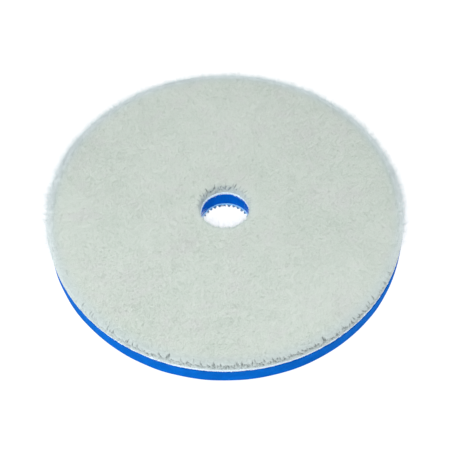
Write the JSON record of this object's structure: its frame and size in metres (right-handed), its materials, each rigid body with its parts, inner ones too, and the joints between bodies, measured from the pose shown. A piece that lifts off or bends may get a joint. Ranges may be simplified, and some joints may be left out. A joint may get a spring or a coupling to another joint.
{
  "type": "polishing pad",
  "caption": "Round flat polishing pad: short off-white cut pile on a blue foam ring, with a hook-and-loop back and a centre hole.",
  "frame": {"origin": "centre of the hook-and-loop face, where the pad lies on a table or on its backing plate", "axes": "+Z from the hook-and-loop face towards the pile, along the centre hole; the pad is round about Z, so X and Y are free"},
  "size_m": [0.1532, 0.1532, 0.0145],
  "materials": {
    "pile": "short dense cut pile, off-white with a faint green-grey cast, matte and fuzzy",
    "ground_cloth": "white knitted ground cloth, matte",
    "bond_film": "clear hot-melt adhesive film that shows the blue foam through it, satin",
    "foam": "bright blue fine-celled foam, die cut, matte",
    "loop_cloth": "light blue warp-knit cloth, matte",
    "loop_nap": "brushed steel-blue loops, soft sheen"
  },
  "bodies": {
    "root": {"pile_tufts": "pile", "pile_ground_cloth": "ground_cloth", "upper_bond_film": "bond_film", "foam_core": "foam", "lower_bond_film": "bond_film", "loop_ground_cloth": "loop_cloth", "loop_nap": "loop_nap"}
  },
  "joints": []
}
